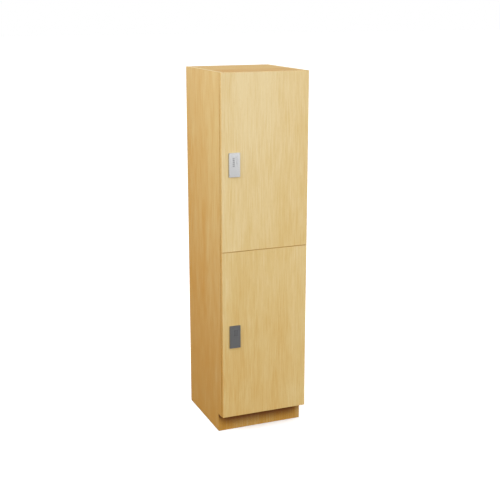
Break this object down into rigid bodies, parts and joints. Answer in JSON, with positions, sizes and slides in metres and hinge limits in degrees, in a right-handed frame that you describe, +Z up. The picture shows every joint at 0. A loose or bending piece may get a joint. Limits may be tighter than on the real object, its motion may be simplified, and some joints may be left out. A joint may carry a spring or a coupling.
{
  "type": "two-tier electronic-lock locker",
  "caption": "Free-standing wood-grain locker with stacked flush doors on concealed hinges, a keypad lock above and a reader lock below, over a recessed toe space.",
  "frame": {"origin": "floor level at the middle of the overall footprint", "axes": "+Z up, -Y out of the door faces, +X to the right seen from the front"},
  "size_m": [0.453, 0.5068, 1.82],
  "materials": {
    "maple_laminate": "satin laminate",
    "maple_edge": "satin edge banding",
    "beech": "bare turned beech",
    "glide_plastic": "matt",
    "hinge_steel": "nickel plated",
    "strike_steel": "zinc plated",
    "hook_chrome": "satin chrome",
    "screw_steel": "zinc plated",
    "bumper_rubber": "soft clear grey",
    "satin_silver": "satin",
    "key_metal": "satin",
    "graphite_paint": "satin",
    "reader_plastic": "gloss",
    "circuit_green": "solder mask",
    "case_plastic": "fine texture",
    "battery_wrap": "printed sleeve",
    "motor_steel": "drawn can",
    "pinion_brass": "machined"
  },
  "bodies": {
    "carcass": {"left_side_panel": "maple_laminate", "right_side_panel": "maple_laminate", "top_panel": "maple_laminate", "middle_shelf": "maple_laminate", "bottom_panel": "maple_laminate", "back_panel": "maple_laminate", "toe_kick_board": "maple_laminate", "upper_wall_rail": "maple_laminate", "lower_wall_rail": "maple_laminate", "carcass_edge_bands": "maple_edge", "wood_dowels": "beech", "floor_glides": "glide_plastic", "hinge_mounting_plates": "hinge_steel", "hinge_arms": "hinge_steel", "hinge_arm_pins": "hinge_steel", "strike_plates": "strike_steel", "coat_hooks": "hook_chrome", "wood_screws": "screw_steel", "door_bumpers": "bumper_rubber"},
    "upper_hinge_link": {"upper_hinge_links": "hinge_steel"},
    "upper_door": {"upper_door_panel": "maple_laminate", "upper_door_edge_band": "maple_edge", "upper_hinge_cups": "hinge_steel", "upper_hinge_cup_pins": "hinge_steel", "upper_cup_screws": "screw_steel", "upper_lock_housing": "satin_silver", "upper_circuit_board": "circuit_green", "upper_rear_case": "case_plastic", "upper_batteries": "battery_wrap", "upper_lock_motor": "motor_steel", "upper_lock_screws": "screw_steel"},
    "upper_bolt": {"upper_latch_bolt": "strike_steel"},
    "upper_pinion": {"upper_lock_pinion": "pinion_brass"},
    "upper_cover": {"upper_rear_cover": "case_plastic"},
    "lower_hinge_link": {"lower_hinge_links": "hinge_steel"},
    "lower_door": {"lower_door_panel": "maple_laminate", "lower_door_edge_band": "maple_edge", "lower_hinge_cups": "hinge_steel", "lower_hinge_cup_pins": "hinge_steel", "lower_cup_screws": "screw_steel", "lower_lock_housing": "graphite_paint", "lower_circuit_board": "circuit_green", "lower_rear_case": "case_plastic", "lower_batteries": "battery_wrap", "lower_lock_motor": "motor_steel", "lower_lock_screws": "screw_steel", "lower_reader_window": "reader_plastic"},
    "lower_bolt": {"lower_latch_bolt": "strike_steel"},
    "lower_pinion": {"lower_lock_pinion": "pinion_brass"},
    "lower_cover": {"lower_rear_cover": "case_plastic"},
    "key_1": {"key_1": "key_metal"},
    "key_2": {"key_2": "key_metal"},
    "key_3": {"key_3": "key_metal"},
    "key_4": {"key_4": "key_metal"},
    "key_5": {"key_5": "key_metal"},
    "key_6": {"key_6": "key_metal"},
    "key_7": {"key_7": "key_metal"},
    "key_8": {"key_8": "key_metal"},
    "key_9": {"key_9": "key_metal"},
    "key_0": {"key_0": "key_metal"}
  },
  "joints": [
    {"name": "upper_hinge_link_turn", "type": "hinge", "parent": "carcass", "child": "upper_hinge_link", "pos_m": [0.1895, -0.2166, 1.38662], "axis": [0, 0, 1], "range_deg": [-23.8, 0]},
    {"name": "upper_door_swing", "type": "hinge", "parent": "upper_hinge_link", "child": "upper_door", "pos_m": [0.2155, -0.2354, 1.38662], "axis": [0, 0, 1], "range_deg": [0, 128.6]},
    {"name": "upper_bolt_slide", "type": "slide", "parent": "upper_door", "child": "upper_bolt", "axis": [-1, 0, 0], "range_m": [0, 0.01]},
    {"name": "upper_pinion_spin", "type": "hinge", "parent": "upper_door", "child": "upper_pinion", "pos_m": [-0.1845, -0.2086, 1.39863], "axis": [0, 0, 1], "range_deg": [-145, 0]},
    {"name": "upper_cover_lift_off", "type": "slide", "parent": "upper_door", "child": "upper_cover", "axis": [0, 1, 0], "range_m": [0, 0.03]},
    {"name": "lower_hinge_link_turn", "type": "hinge", "parent": "carcass", "child": "lower_hinge_link", "pos_m": [0.1895, -0.2166, 0.52587], "axis": [0, 0, 1], "range_deg": [-23.8, 0]},
    {"name": "lower_door_swing", "type": "hinge", "parent": "lower_hinge_link", "child": "lower_door", "pos_m": [0.2155, -0.2354, 0.52587], "axis": [0, 0, 1], "range_deg": [0, 128.6]},
    {"name": "lower_bolt_slide", "type": "slide", "parent": "lower_door", "child": "lower_bolt", "axis": [-1, 0, 0], "range_m": [0, 0.01]},
    {"name": "lower_pinion_spin", "type": "hinge", "parent": "lower_door", "child": "lower_pinion", "pos_m": [-0.1845, -0.2086, 0.53787], "axis": [0, 0, 1], "range_deg": [-145, 0]},
    {"name": "lower_cover_lift_off", "type": "slide", "parent": "lower_door", "child": "lower_cover", "axis": [0, 1, 0], "range_m": [0, 0.03]},
    {"name": "key_1_press", "type": "slide", "parent": "upper_door", "child": "key_1", "axis": [0, 1, 0], "range_m": [0, 0.0008], "stiffness_N_per_m": 60},
    {"name": "key_2_press", "type": "slide", "parent": "upper_door", "child": "key_2", "axis": [0, 1, 0], "range_m": [0, 0.0008], "stiffness_N_per_m": 60},
    {"name": "key_3_press", "type": "slide", "parent": "upper_door", "child": "key_3", "axis": [0, 1, 0], "range_m": [0, 0.0008], "stiffness_N_per_m": 60},
    {"name": "key_4_press", "type": "slide", "parent": "upper_door", "child": "key_4", "axis": [0, 1, 0], "range_m": [0, 0.0008], "stiffness_N_per_m": 60},
    {"name": "key_5_press", "type": "slide", "parent": "upper_door", "child": "key_5", "axis": [0, 1, 0], "range_m": [0, 0.0008], "stiffness_N_per_m": 60},
    {"name": "key_6_press", "type": "slide", "parent": "upper_door", "child": "key_6", "axis": [0, 1, 0], "range_m": [0, 0.0008], "stiffness_N_per_m": 60},
    {"name": "key_7_press", "type": "slide", "parent": "upper_door", "child": "key_7", "axis": [0, 1, 0], "range_m": [0, 0.0008], "stiffness_N_per_m": 60},
    {"name": "key_8_press", "type": "slide", "parent": "upper_door", "child": "key_8", "axis": [0, 1, 0], "range_m": [0, 0.0008], "stiffness_N_per_m": 60},
    {"name": "key_9_press", "type": "slide", "parent": "upper_door", "child": "key_9", "axis": [0, 1, 0], "range_m": [0, 0.0008], "stiffness_N_per_m": 60},
    {"name": "key_0_press", "type": "slide", "parent": "upper_door", "child": "key_0", "axis": [0, 1, 0], "range_m": [0, 0.0008], "stiffness_N_per_m": 60}
  ],
  "couplings": [
    {"joint": "upper_hinge_link_turn", "follows": "upper_door_swing", "ratio": -0.18367},
    {"joint": "upper_pinion_spin", "follows": "upper_bolt_slide", "rad_per_m": -250},
    {"joint": "lower_hinge_link_turn", "follows": "lower_door_swing", "ratio": -0.18367},
    {"joint": "lower_pinion_spin", "follows": "lower_bolt_slide", "rad_per_m": -250}
  ]
}
